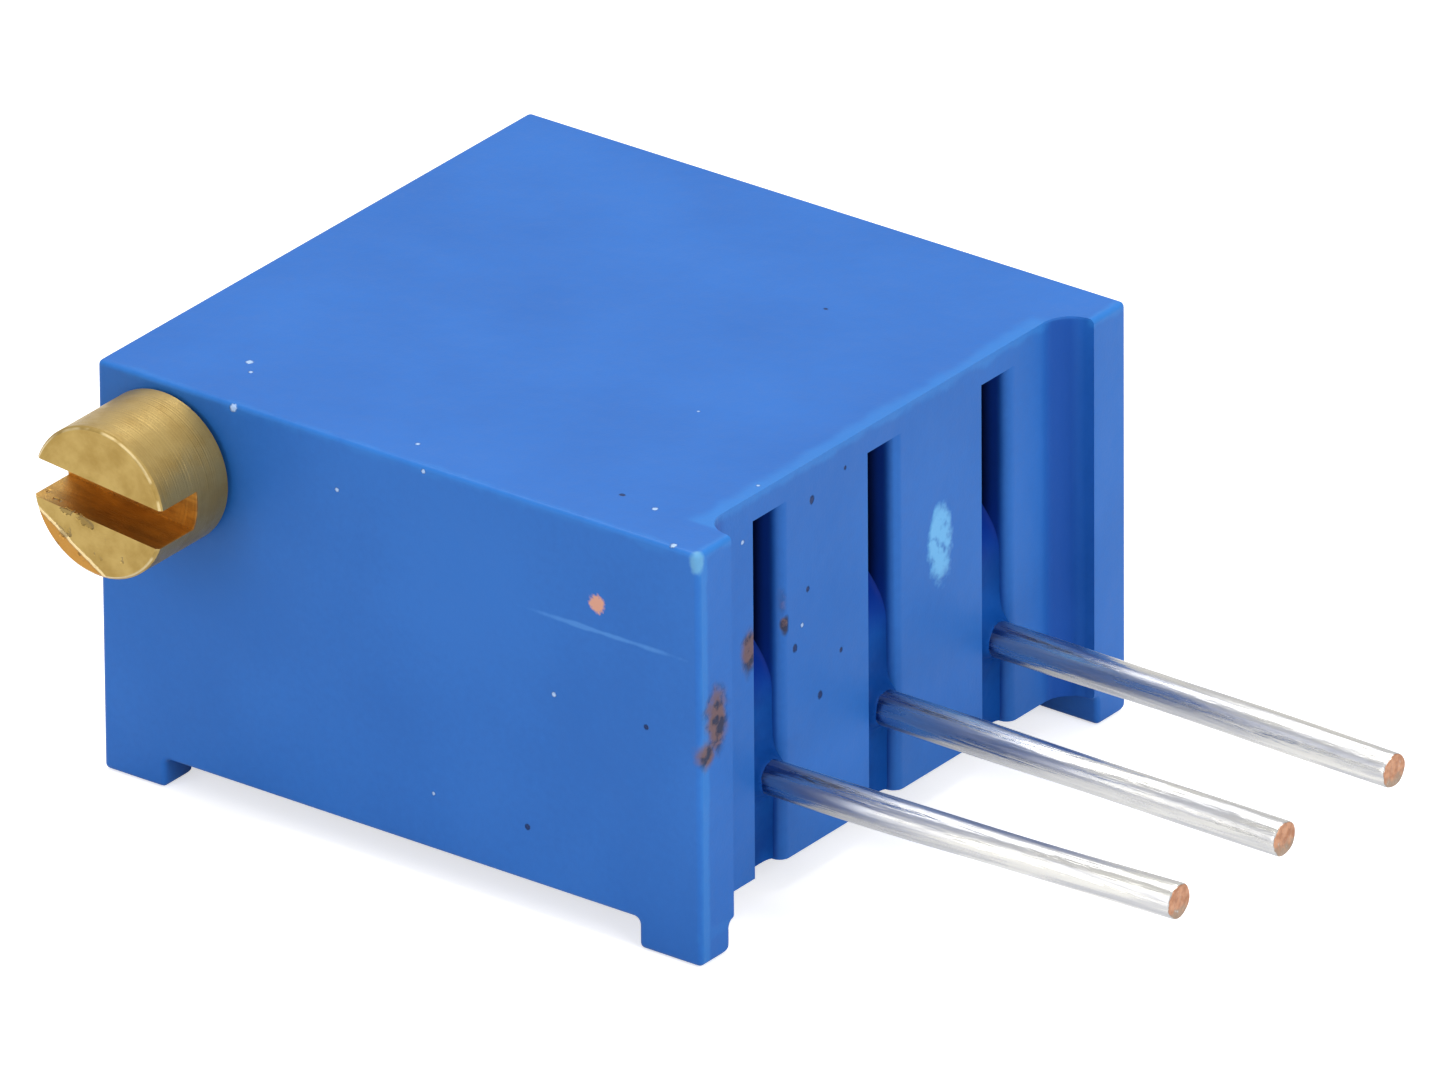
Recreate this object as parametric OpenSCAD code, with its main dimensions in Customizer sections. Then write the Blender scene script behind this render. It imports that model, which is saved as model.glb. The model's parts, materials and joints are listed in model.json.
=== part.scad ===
// Square multi-turn trimmer potentiometer: side-adjust screw, worm drive, three in-line pins.
// Millimetres. X runs along the pins, Y across the pin row, Z up from the feet.
// The origin is on the middle pin's axis, in the plane where the standoff ribs meet the board.

/* [Housing] */
// Height from the feet to the top face, along Z
body_t = 6.10; // [5.8:0.01:7]
// Radius of the outer edges
edge_r = 0.12; // [0.05:0.01:0.2]
// Thickness of the side walls
wall = 0.58; // [0.5:0.01:0.7]
// Room between the rotor's teeth and the pin wall
pin_side = 0.83; // [0.8:0.01:1.2]
// Room between the rotor's teeth and the side walls of the chamber
rotor_side = 0.655; // [0.5:0.005:1]
// Thickness of the roof over the rotor chamber
roof = 0.55; // [0.45:0.01:0.7]
// Height of the corner feet
foot_h = 0.43; // [0.3:0.01:0.6]
// Length of a corner foot, along X
foot_l = 1.02; // [0.8:0.01:1.4]
// Width of a corner foot, along Y
foot_w = 0.60; // [0.4:0.01:0.68]

/* [Pin face] */
// Depth of the recess between the standoff ribs
recess_d = 0.50; // [0.3:0.01:0.6]
// Width of each standoff rib
rib_w = 0.71; // [0.6:0.01:0.9]
// Radius of the hollow corner where a rib meets the recess
cove_r = 0.44; // [0.1:0.01:0.45]
// Width of the slot over each pin
slot_w = 0.56; // [0.54:0.01:0.7]
// Distance from the top face down to the end of the slots
slot_drop = 0.38; // [0.25:0.01:0.6]
// Height of the resin in the slots, above the pin axis
slot_fill_h = 1.85; // [0.5:0.05:2.2]
// Depth of the resin surface below the recess face
slot_fill_d = 0.20; // [0.1:0.01:0.3]

/* [Pins] */
// Distance between neighbouring pins
pitch = 2.54; // [2.4:0.01:2.7]
// Diameter of the tinned wire
pin_d = 0.51; // [0.45:0.01:0.52]
// Length of a pin beyond the standoff faces
pin_l = 6.12; // [4:0.01:8]
// Height of the pin axis above the feet
pin_h = 1.80; // [1.7:0.01:2]
// Distance from the recess face in to the coined flat
coin_at = 0.12; // [0.08:0.01:0.2]
// Length of the coined flat inside the housing
blade_l = 1.85; // [1.5:0.01:2.2]
// Width of the coined flat
blade_w = 0.50; // [0.4:0.01:0.51]
// Thickness of the coined flat
blade_t = 0.40; // [0.3:0.01:0.45]

/* [Adjusting screw] */
// Distance of the screw axis from the back wall face
screw_in = 1.17; // [1.16:0.01:1.3]
// Distance from the top face down to the screw axis
screw_drop = 1.20; // [1.16:0.01:1.3]
// Diameter of the head
head_d = 2.19; // [1.9:0.01:2.25]
// Length of the head
head_l = 1.47; // [1.2:0.01:2]
// Gap under the head
head_gap = 0.05; // [0.02:0.01:0.1]
// Chamfer at both ends of the head
head_chamfer = 0.06; // [0.02:0.01:0.12]
// Width of the driver slot
driver_w = 0.58; // [0.4:0.01:0.7]
// Depth of the driver slot
driver_d = 0.76; // [0.5:0.01:1]
// Tilt of the driver slot from the X axis, in degrees
driver_tilt = 5.8; // [0:0.1:90]
// Diameter of the shank in its bore
shank_d = 1.64; // [1.6:0.01:1.66]
// Radial clearance between the screw and its bores
screw_clear = 0.04; // [0.02:0.005:0.06]
// Diameter of the end journal
journal_d = 0.90; // [0.7:0.01:0.91]
// Length of the end journal inside its blind bore
journal_l = 0.28; // [0.2:0.01:0.35]
// Distance from the journal's shoulder to the wall
shoulder_gap = 0.20; // [0.1:0.01:0.3]
// Gap between the screw's end and the floor of its blind bore
end_gap = 0.10; // [0.05:0.01:0.15]

/* [Screw seal and retainer] */
// Thickness of the bore block behind the screw face
block_l = 1.80; // [1.75:0.01:2]
// Height of the bore block below the bore
block_skirt = 0.34; // [0.2:0.01:0.5]
// Thickness of the bore block beside the clip slot
block_side = 0.23; // [0.15:0.01:0.3]
// Distance that the screw's collar stops short of the bore block's inner face
collar_inset = 0.10; // [0.05:0.01:0.15]
// Distance from the screw face to the seal groove
groove_at = 0.38; // [0.3:0.01:0.4]
// Width of the seal groove
groove_w = 0.46; // [0.44:0.01:0.48]
// Section diameter of the seal ring
ring_d = 0.38; // [0.36:0.01:0.38]
// Distance from the screw face to the retainer neck
neck_at = 1.16; // [1.12:0.01:1.2]
// Width of the retainer neck
neck_w = 0.28; // [0.26:0.01:0.3]
// Diameter of the retainer neck
neck_d = 1.00; // [0.9:0.01:1.1]
// Thickness of the retainer clip
clip_t = 0.18; // [0.15:0.01:0.2]
// Width of the retainer clip across its legs
clip_w = 1.66; // [1.6:0.01:1.68]
// Height of the clip's legs above the screw axis
clip_rise = 0.76; // [0.6:0.01:0.78]
// Clearance of the clip in its slot and on its neck
clip_clear = 0.02; // [0.01:0.005:0.03]

/* [Worm drive] */
// Number of teeth on the rotor
teeth = 32; // [28:4:32]
// Pitch radius of the rotor teeth
wheel_r = 3.10; // [3.05:0.01:3.14]
// Pitch radius of the worm
worm_r = 0.62; // [0.6:0.01:0.63]
// Height of a thread or tooth outside the pitch line
addendum = 0.13; // [0.1:0.01:0.13]
// Depth of a thread or tooth inside the pitch line
dedendum = 0.16; // [0.15:0.01:0.17]
// Pressure angle of the teeth, in degrees
pressure = 20; // [18:1:22]
// Thinning of each thread and tooth at the pitch line
backlash = 0.055; // [0.04:0.005:0.08]
// Height of the plain core beside the thread, above the thread's root
relief = 0.03; // [0.02:0.01:0.05]
// Number of turns of the worm thread
thread_turns = 7; // [6:1:7]
// Width of the toothed rim, along Z
rim_h = 0.80; // [0.6:0.01:0.9]

/* [Rotor] */
// Diameter of the fixed pivot under the roof
pivot_d = 1.00; // [0.8:0.01:1.2]
// Radial clearance of the rotor on its pivot
pivot_clear = 0.04; // [0.02:0.005:0.06]
// Gap between the rotor and the roof
roof_gap = 0.04; // [0.03:0.01:0.08]
// Thickness of the rim between the teeth and the web
rim_t = 0.39; // [0.3:0.01:0.5]
// Thickness of the rotor web
web_t = 0.40; // [0.3:0.01:0.5]
// Radius of the rotor hub
hub_r = 1.35; // [1.2:0.01:1.5]
// Height of the wiper plate above the substrate
wiper_drop = 0.72; // [0.6:0.01:0.8]
// Thickness of the hub floor under the pivot
hub_floor = 0.35; // [0.25:0.01:0.5]
// Radius of the two staking posts
post_r = 0.20; // [0.15:0.01:0.22]
// Height of the flattened heads of the posts
post_head = 0.12; // [0.08:0.01:0.15]
// Radius that the heads add to the posts
post_lip = 0.08; // [0.04:0.01:0.1]
// Distance of a staking post from the rotor axis
post_at = 0.85; // [0.8:0.01:0.9]

/* [Wiper] */
// Thickness of the wiper sheet
wiper_t = 0.08; // [0.06:0.01:0.1]
// Number of fingers on the track
fingers = 4; // [3:1:4]
// Width of one finger
finger_w = 0.15; // [0.12:0.01:0.16]
// Gap between two fingers
finger_gap = 0.08; // [0.06:0.01:0.1]
// Gap between the fingertips and the films that they read
contact_gap = 0.02; // [0.015:0.005:0.03]

/* [Element] */
// Thickness of the alumina substrate
substrate_t = 0.64; // [0.5:0.01:0.64]
// Thickness of the printed films
film_t = 0.03; // [0.02:0.005:0.04]
// Width of the ledge that the substrate seats on
ledge = 0.30; // [0.2:0.01:0.35]
// Clearance of the substrate in the housing
substrate_clear = 0.05; // [0.04:0.01:0.08]
// Radius of the resistive track's centre line
track_r = 2.65; // [2.6:0.01:2.7]
// Width of the resistive track
track_w = 0.60; // [0.5:0.01:0.7]
// Half angle of the gap in the track, in degrees
track_gap = 36; // [34:1:37]
// Radius of the collector ring's centre line
collector_r = 0.78; // [0.72:0.01:0.84]
// Width of the collector ring
collector_w = 0.54; // [0.4:0.01:0.6]
// Width of the solder pads under the substrate
pad_w = 1.20; // [1.1:0.01:1.4]
// Length of the solder pads under the substrate
pad_l = 1.55; // [1.3:0.01:1.7]
// Width of the collector's strip
strip_w = 0.60; // [0.4:0.01:0.8]
// Distance of the solder from both ends of its pad
pad_margin = 0.12; // [0.08:0.01:0.2]
// Solder to each side of a coined flat, at the pad
solder_foot = 0.27; // [0.2:0.01:0.3]
// Solder under a coined flat
solder_under = 0.14; // [0.1:0.01:0.2]

/* [Resin] */
// Depth of the resin surface inside the underside
resin_sink = 0.12; // [0.05:0.01:0.3]

/* [Hidden] */
blue = [0.16, 0.40, 0.78];
resin_blue = [0.13, 0.33, 0.68];
brass = [0.72, 0.58, 0.30];
tin = [0.80, 0.80, 0.82];
eps = 0.01;

// Outer size across the pins' direction and the pin row, round the rotor
body_l = screw_in + worm_r + 2 * wheel_r + addendum + pin_side + wall + recess_d;
body_w = 2 * (wheel_r + addendum + rotor_side + ledge + wall);

// Levels along Z
floor_z = -pin_h;
top_z = body_t - pin_h;
under_z = floor_z + foot_h;
roof_z = top_z - roof;
slot_top_z = top_z - slot_drop;
screw_z = top_z - screw_drop;
screw_bore_r = shank_d / 2 + screw_clear;
pad_z = blade_t / 2;
substrate_z = pad_z + film_t;
element_z = substrate_z + substrate_t;
hub_z = element_z + wiper_drop + wiper_t;
block_z = screw_z - screw_bore_r - block_skirt;

// Places along X and Y
back_x = -body_l;
face_x = -recess_d;
side_y = body_w / 2;
pocket_x0 = back_x + wall;
pocket_x1 = face_x - wall;
pocket_y = side_y - wall;
chamber_x0 = pocket_x0 + ledge;
chamber_y = pocket_y - ledge;
substrate_x0 = pocket_x0 + substrate_clear;
substrate_x1 = pocket_x1 - substrate_clear;
substrate_y = pocket_y - substrate_clear;
pin_ys = [-pitch, 0, pitch];

// Screw and worm drive
screw_x = back_x + screw_in;
rotor_x = screw_x + worm_r + wheel_r;
module_mm = 2 * wheel_r / teeth;
lead = PI * module_mm;
flank_t = lead / 2 - backlash;
thread_tip_r = worm_r + addendum;
thread_root_r = worm_r - dedendum;
tooth_tip_r = wheel_r + addendum;
tooth_root_r = wheel_r - dedendum;
web_r = tooth_root_r - rim_t;
thread_l = thread_turns * lead;
relief_r = thread_root_r + relief;
tooth_lean = lead / (2 * PI * worm_r) * rim_h / wheel_r * 180 / PI;
head_end = head_gap + head_l;
ring_gap = 0.01;
groove_r = screw_bore_r - ring_d - 2 * ring_gap;
collar_end = block_l - collar_inset;
neck_mid_y = neck_at + neck_w / 2 - side_y;
tooth_half = flank_t / wheel_r / 2 * 180 / PI;
wiper_z = hub_z - wiper_t;
tip_z = element_z + film_t + contact_gap;
solder_x0 = substrate_x1 - pad_l + pad_margin;
solder_x1 = substrate_x1 - pad_margin;
blade_x1 = face_x - coin_at;
pivot_gap = 0.05;
window_clear = 0.12;
track_in = track_r - track_w / 2;
track_out = track_r + track_w / 2;
strip_x = rotor_x + collector_r;
window_x0 = collector_r - collector_w / 2;
window_x1 = collector_r + collector_w / 2 + window_clear;
window_w = 2 * finger_w + finger_gap + window_clear;
round_fn = 64;

// A rectangle with four true arcs at its corners, centred on the origin.
module round_rect(l, w, r) {
    square([l - 2 * r, w], center = true);
    square([l, w - 2 * r], center = true);
    for (sx = [-1, 1], sy = [-1, 1])
        translate([sx * (l / 2 - r), sy * (w / 2 - r)])
            circle(r = r, $fn = 32);
}

// A block between two corners with all its edges rounded: three rounded prisms in common.
module round_block(low, high, r) {
    size = high - low;
    translate((low + high) / 2)
        intersection() {
            translate([0, 0, -size.z / 2])
                linear_extrude(size.z) round_rect(size.x, size.y, r);
            translate([-size.x / 2, 0, 0])
                rotate([90, 0, 90])
                    linear_extrude(size.x) round_rect(size.y, size.z, r);
            translate([0, size.y / 2, 0])
                rotate([90, 0, 0])
                    linear_extrude(size.y) round_rect(size.x, size.z, r);
        }
}

// A plain block between two corners.
module block(low, high) {
    translate(low) cube(high - low);
}

// Puts a shape drawn along local Z onto the screw axis, with local Z along +Y.
module on_screw_axis(from_face = 0) {
    translate([screw_x, from_face - side_y, screw_z])
        rotate([-90, 0, 0])
            children();
}

module on_rotor_axis(z) {
    translate([rotor_x, 0, z]) children();
}

// A ring sector in the XY plane, from a1 to a2 degrees.
module ring_sector(r1, r2, a1, a2) {
    steps = 24;
    outer = [for (i = [0:steps]) let (a = a1 + (a2 - a1) * i / steps) r2 * [cos(a), sin(a)]];
    inner = [for (i = [steps:-1:0]) let (a = a1 + (a2 - a1) * i / steps) r1 * [cos(a), sin(a)]];
    polygon(concat(outer, inner));
}

// The recess between the ribs, with a cove along each rib.
module recess_outline() {
    half = side_y - rib_w;
    translate([face_x, -half + cove_r]) square([recess_d + 1, 2 * (half - cove_r)]);
    translate([face_x + cove_r, -half]) square([recess_d - cove_r + 1, 2 * half]);
    for (s = [-1, 1])
        translate([face_x + cove_r, s * (half - cove_r)]) circle(r = cove_r, $fn = 48);
}

module under_cut() {
    block([back_x + foot_l, -side_y - 1, floor_z - 1], [-foot_l, side_y + 1, under_z]);
    block([back_x - 1, -side_y + foot_w, floor_z - 1], [1, side_y - foot_w, under_z]);
}

module screw_bores() {
    on_screw_axis(-eps) cylinder(r = screw_bore_r, h = side_y + chamber_y + eps, $fn = round_fn);
    on_screw_axis(side_y + chamber_y - eps)
        cylinder(r = journal_d / 2 + screw_clear, h = journal_l + end_gap + eps, $fn = round_fn);
}

module clip_slot() {
    half = [clip_w / 2, clip_t / 2] + [clip_clear, clip_clear];
    block([screw_x - half.x, neck_mid_y - half.y, block_z - eps],
          [screw_x + half.x, neck_mid_y + half.y, screw_z + screw_bore_r]);
}

module housing() {
    color(blue)
        difference() {
            union() {
                difference() {
                    round_block([back_x, -side_y, floor_z], [0, side_y, top_z], edge_r);
                    translate([0, 0, floor_z - 1]) linear_extrude(body_t + 2) recess_outline();
                    under_cut();
                    block([pocket_x0, -pocket_y, floor_z - 1], [pocket_x1, pocket_y, element_z]);
                    block([chamber_x0, -chamber_y, element_z - eps], [pocket_x1, chamber_y, roof_z]);
                }
                block([back_x + wall / 2, -side_y + wall / 2, block_z],
                      [screw_x + clip_w / 2 + clip_clear + block_side, -side_y + block_l, roof_z + roof / 2]);
                on_rotor_axis(hub_z + hub_floor + pivot_gap)
                    cylinder(d = pivot_d, h = roof_z - hub_z - hub_floor - pivot_gap + eps, $fn = round_fn);
            }
            screw_bores();
            clip_slot();
            for (y = pin_ys)
                block([pocket_x1 - eps, y - slot_w / 2, floor_z - 1], [1, y + slot_w / 2, slot_top_z]);
        }
}

// Outline of the solder round a coined pin end, drawn across the pin.
module solder_outline() {
    foot = blade_w / 2 + solder_foot;
    low = [blade_w / 2 + 0.05, -blade_t / 2 - solder_under];
    waist = [(foot + low.x) / 2, (pad_z + low.y) / 3];
    polygon([[-foot, pad_z], [-waist.x, waist.y], [-low.x, low.y], low, waist, [foot, pad_z]]);
}

module solder_block(y) {
    translate([solder_x0, y, 0])
        rotate([90, 0, 90])
            linear_extrude(solder_x1 - solder_x0) solder_outline();
}

module solder_joint(y) {
    color(tin)
        difference() {
            solder_block(y);
            blade(y);
        }
}

module blade(y) {
    block([blade_x1 - blade_l, y - blade_w / 2, -blade_t / 2], [blade_x1, y + blade_w / 2, blade_t / 2]);
}

module pin(y) {
    color(tin) {
        blade(y);
        translate([blade_x1, y, 0])
            rotate([0, 90, 0])
                cylinder(d = pin_d, h = pin_l - blade_x1, $fn = 48);
    }
}

module sealing_resin() {
    color(resin_blue)
        difference() {
            union() {
                block([pocket_x0, -pocket_y, under_z + resin_sink], [pocket_x1, pocket_y, pad_z]);
                for (y = pin_ys)
                    block([pocket_x1 - eps, y - slot_w / 2, under_z + resin_sink],
                          [face_x - slot_fill_d, y + slot_w / 2, slot_fill_h]);
            }
            for (y = pin_ys) {
                blade(y);
                solder_block(y);
                translate([blade_x1, y, 0]) rotate([0, 90, 0]) cylinder(d = pin_d, h = 2, $fn = 48);
            }
        }
}

// Cut across the worm: the trapezoid thread as a lobe on the round core, radius against angle.
module worm_section() {
    slope = tan(pressure);
    tip_half = 360 / lead * (flank_t / 2 - addendum * slope);
    root_half = 360 / lead * (flank_t / 2 + dedendum * slope);
    tip = [for (i = [-3:3]) thread_tip_r * [cos(tip_half * i / 3), sin(tip_half * i / 3)]];
    core = [
        for (i = [0:6])
            let (a = root_half + (360 - 2 * root_half) * i / 6) thread_root_r * [cos(a), sin(a)]
    ];
    flank_a = (tip_half + root_half) / 2;
    flank = worm_r * [cos(flank_a), sin(flank_a)];
    polygon(concat(tip, [flank], core, [[flank.x, -flank.y]]));
}

// Right-handed worm thread, with its crest towards the rotor at mid length.
module worm_thread() {
    rotate(-180 * thread_turns)
        linear_extrude(thread_l, center = true, twist = -360 * thread_turns, slices = 16 * thread_turns)
            worm_section();
}

// Turned profile from the head to the worm: radius against distance from the screw face.
module front_profile() {
    head_r = head_d / 2;
    shank_r = shank_d / 2;
    polygon([
        [0, -head_end],
        [head_r - head_chamfer, -head_end],
        [head_r, -head_end + head_chamfer],
        [head_r, -head_gap - head_chamfer],
        [head_r - head_chamfer, -head_gap],
        [shank_r, -head_gap],
        [shank_r, groove_at],
        [groove_r, groove_at],
        [groove_r, groove_at + groove_w],
        [shank_r, groove_at + groove_w],
        [shank_r, neck_at],
        [neck_d / 2, neck_at],
        [neck_d / 2, neck_at + neck_w],
        [shank_r, neck_at + neck_w],
        [shank_r, collar_end],
        [relief_r, collar_end],
        [relief_r, side_y - thread_l / 2],
        [0, side_y - thread_l / 2]
    ]);
}

// Turned profile from the worm to the end journal.
module rear_profile() {
    far_wall = side_y + chamber_y;
    polygon([
        [0, side_y + thread_l / 2],
        [relief_r, side_y + thread_l / 2],
        [relief_r, far_wall - shoulder_gap],
        [journal_d / 2, far_wall - shoulder_gap],
        [journal_d / 2, far_wall + journal_l],
        [0, far_wall + journal_l]
    ]);
}

module adjusting_screw() {
    color(brass)
        on_screw_axis()
            difference() {
                union() {
                    rotate_extrude($fn = round_fn) front_profile();
                    rotate_extrude($fn = round_fn) rear_profile();
                    translate([0, 0, side_y]) worm_thread();
                }
                rotate(driver_tilt)
                    translate([-head_d, -driver_w / 2, -head_end - 1])
                        cube([2 * head_d, driver_w, driver_d + 1]);
            }
}

module screw_o_ring() {
    color([0.1, 0.1, 0.1])
        on_screw_axis(groove_at + groove_w / 2)
            rotate_extrude($fn = round_fn)
                translate([groove_r + ring_gap + ring_d / 2, 0])
                    circle(d = ring_d, $fn = 32);
}

module screw_retainer() {
    half = clip_w / 2;
    gape = neck_d / 2 + clip_clear;
    color([0.62, 0.64, 0.66])
        translate([screw_x, neck_mid_y + clip_t / 2, screw_z])
            rotate([90, 0, 0])
                linear_extrude(clip_t)
                    difference() {
                        translate([-half, block_z - screw_z])
                            square([2 * half, screw_z + clip_rise - block_z]);
                        circle(r = gape, $fn = round_fn);
                        translate([-gape, 0]) square([2 * gape, screw_bore_r]);
                    }
}

// Involute of the base circle at radius r, as the angle from its start.
function roll(r, base) = sqrt(pow(r / base, 2) - 1) * 180 / PI - acos(base / r);

// One flank of a rotor tooth: points at rising radii, turned so that the pitch point is at 0.
function flank(side) = let (base = wheel_r * cos(pressure), at_pitch = roll(wheel_r, base))
    [for (r = [max(base, tooth_root_r), wheel_r, tooth_tip_r])
        let (a = side * (tooth_half - (roll(r, base) - at_pitch))) r * [cos(a), sin(a)]];

function turned(p, a) = [p[0] * cos(a) - p[1] * sin(a), p[0] * sin(a) + p[1] * cos(a)];

module wheel_outline() {
    right = flank(-1);
    left = flank(1);
    polygon([
        for (k = [0:teeth - 1])
            let (a = 360 * (k + 0.5) / teeth)
                for (p = concat(right, [left[2], left[1], left[0]])) turned(p, a)
    ]);
}

// The toothed rim on its web, with a recess above and below the web.
module wheel() {
    difference() {
        translate([0, 0, screw_z])
            rotate(-tooth_lean / 2)
                linear_extrude(rim_h, center = true, twist = -tooth_lean, slices = 2) wheel_outline();
        translate([0, 0, screw_z - rim_h / 2 - eps])
            cylinder(r = web_r, h = rim_h / 2 - web_t / 2 + eps, $fn = round_fn);
        translate([0, 0, screw_z + web_t / 2])
            cylinder(r = web_r, h = rim_h, $fn = round_fn);
    }
}

module rotor() {
    color([0.86, 0.85, 0.80])
        on_rotor_axis(0) {
            difference() {
                union() {
                    wheel();
                    translate([0, 0, hub_z])
                        cylinder(r = hub_r, h = roof_z - roof_gap - hub_z, $fn = round_fn);
                }
                translate([0, 0, hub_z + hub_floor])
                    cylinder(r = pivot_d / 2 + pivot_clear, h = roof_z - hub_z, $fn = round_fn);
            }
            for (s = [-1, 1])
                translate([0, s * post_at, wiper_z - post_head]) {
                    cylinder(r = post_r, h = post_head + wiper_t + eps, $fn = 32);
                    cylinder(r = post_r + post_lip, h = post_head, $fn = 32);
                }
        }
}

// A strip of sheet that follows a list of points, thickened upwards.
module bent_strip(path, thickness, width) {
    last = len(path) - 1;
    normals = [
        for (i = [0:last])
            let (d = path[min(i + 1, last)] - path[max(i - 1, 0)]) [-d[1], d[0]] / norm(d)
    ];
    upper = [for (i = [last:-1:0]) path[i] + thickness * normals[i]];
    rotate([90, 0, 0])
        linear_extrude(width, center = true)
            polygon(concat(path, upper));
}

// Profiles of the fingers, from the tip inwards and from the tip outwards: distance from the axis, height.
module track_finger() {
    bent_strip([
        [-track_r - 0.2, tip_z + 0.1],
        [-track_r, tip_z],
        [-track_r + 0.15, tip_z + 0.06],
        [-hub_r - 0.25, wiper_z - 0.06],
        [-hub_r, wiper_z]
    ], wiper_t, finger_w);
}

module collector_finger() {
    bent_strip([
        [collector_r - 0.2, tip_z + 0.1],
        [collector_r, tip_z],
        [collector_r + 0.12, tip_z + 0.08],
        [window_x1 - 0.1, wiper_z - 0.1],
        [window_x1 + 0.05, wiper_z]
    ], wiper_t, finger_w);
}

module finger_row(count) {
    for (k = [0:count - 1])
        translate([0, (k - (count - 1) / 2) * (finger_w + finger_gap), 0]) children();
}

module wiper_contact() {
    span = fingers * finger_w + (fingers - 1) * finger_gap;
    color([0.80, 0.66, 0.36])
        on_rotor_axis(0) {
            difference() {
                union() {
                    translate([0, 0, wiper_z]) cylinder(r = hub_r, h = wiper_t, $fn = round_fn);
                    translate([-hub_r - eps, -span / 2, wiper_z]) cube([hub_r, span, wiper_t]);
                }
                for (s = [-1, 1])
                    translate([0, s * post_at, wiper_z - 1])
                        cylinder(r = post_r + 0.01, h = 2, $fn = 32);
                block([window_x0, -window_w / 2, wiper_z - 1], [window_x1, window_w / 2, wiper_z + 1]);
            }
            finger_row(fingers) track_finger();
            finger_row(2) collector_finger();
        }
}

module film(z) {
    translate([0, 0, z]) linear_extrude(film_t) children();
}

// The film that wraps round the substrate's edge at one pin, down to its solder pad.
module edge_wrap(y) {
    block([substrate_x1, y - pad_w / 2, pad_z], [substrate_x1 + film_t, y + pad_w / 2, element_z + film_t]);
    block([substrate_x1 - pad_l, y - pad_w / 2, pad_z], [substrate_x1 + eps, y + pad_w / 2, substrate_z]);
}

module substrate() {
    color([0.93, 0.92, 0.88])
        block([substrate_x0, -substrate_y, substrate_z], [substrate_x1, substrate_y, element_z]);
}

module resistive_track() {
    color([0.16, 0.15, 0.15])
        film(element_z)
            translate([rotor_x, 0]) ring_sector(track_in, track_out, track_gap, 360 - track_gap);
}

module collector_track() {
    color([0.78, 0.74, 0.66]) {
        film(element_z) {
            translate([rotor_x, 0])
                difference() {
                    circle(r = collector_r + collector_w / 2, $fn = round_fn);
                    circle(r = collector_r - collector_w / 2, $fn = round_fn);
                }
            translate([strip_x, -strip_w / 2])
                square([substrate_x1 + eps - strip_x, strip_w]);
        }
        edge_wrap(0);
    }
}

module end_termination(side) {
    link = track_gap - 12;
    near = track_out * [cos(link), side * sin(link)] + [rotor_x - eps, 0];
    far = track_out * [cos(track_gap), side * sin(track_gap)] + [rotor_x - eps, 0];
    edge_x = substrate_x1 + eps;
    color([0.78, 0.74, 0.66]) {
        film(element_z) {
            translate([rotor_x, 0])
                ring_sector(track_in, track_out, side * link, side * track_gap);
            polygon([near, [edge_x, side * (pitch - pad_w / 2)], [edge_x, side * (pitch + pad_w / 2)], far]);
        }
        edge_wrap(side * pitch);
    }
}

housing();
sealing_resin();
adjusting_screw();
screw_o_ring();
screw_retainer();
rotor();
wiper_contact();
substrate();
resistive_track();
collector_track();
end_termination(-1);  // end_termination_1
end_termination(1);  // end_termination_3
solder_joint(-pitch);  // solder_joint_1
solder_joint(0);  // solder_joint_2
solder_joint(pitch);  // solder_joint_3
pin(-pitch);  // pin_1
pin(0);  // pin_2
pin(pitch);  // pin_3
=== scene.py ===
# %% [markdown]
# # A multi-turn trimmer potentiometer
# A blue moulded housing, ten millimetres long, holds a worm drive and a ceramic element.
# A brass screw stands out of one side, and three tinned wires leave the face farthest from it.
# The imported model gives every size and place. This lesson gives each piece the skin of the real one.

# %% Frame and units
import json
import math

import bpy
import numpy as np
from mathutils import Matrix, Vector


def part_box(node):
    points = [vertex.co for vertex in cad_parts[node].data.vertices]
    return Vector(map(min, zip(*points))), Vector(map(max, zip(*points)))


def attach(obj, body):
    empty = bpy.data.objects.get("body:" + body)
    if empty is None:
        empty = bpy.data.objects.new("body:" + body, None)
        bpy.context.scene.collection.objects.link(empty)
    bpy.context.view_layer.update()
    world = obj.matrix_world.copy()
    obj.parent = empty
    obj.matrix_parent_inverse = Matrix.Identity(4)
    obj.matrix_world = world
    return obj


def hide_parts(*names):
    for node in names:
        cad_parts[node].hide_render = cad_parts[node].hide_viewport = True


MM = 0.001
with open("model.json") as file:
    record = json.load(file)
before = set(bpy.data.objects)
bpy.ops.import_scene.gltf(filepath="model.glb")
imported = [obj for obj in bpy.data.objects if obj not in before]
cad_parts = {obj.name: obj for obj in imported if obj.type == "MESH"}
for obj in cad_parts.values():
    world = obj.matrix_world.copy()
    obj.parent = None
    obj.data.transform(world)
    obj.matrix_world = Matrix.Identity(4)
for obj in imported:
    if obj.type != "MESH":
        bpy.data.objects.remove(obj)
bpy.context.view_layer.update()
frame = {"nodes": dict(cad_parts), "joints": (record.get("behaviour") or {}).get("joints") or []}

# %% [markdown]
# ## Sizes
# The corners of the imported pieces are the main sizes, so nothing here can drift away from them.
# What the corners don't say, such as a wall or a slot, is written once, in millimetres.


# %% Sizes
def corners(node):
    """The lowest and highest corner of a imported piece, in millimetres."""
    low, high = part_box(node)
    return np.array(low) / MM, np.array(high) / MM


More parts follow.
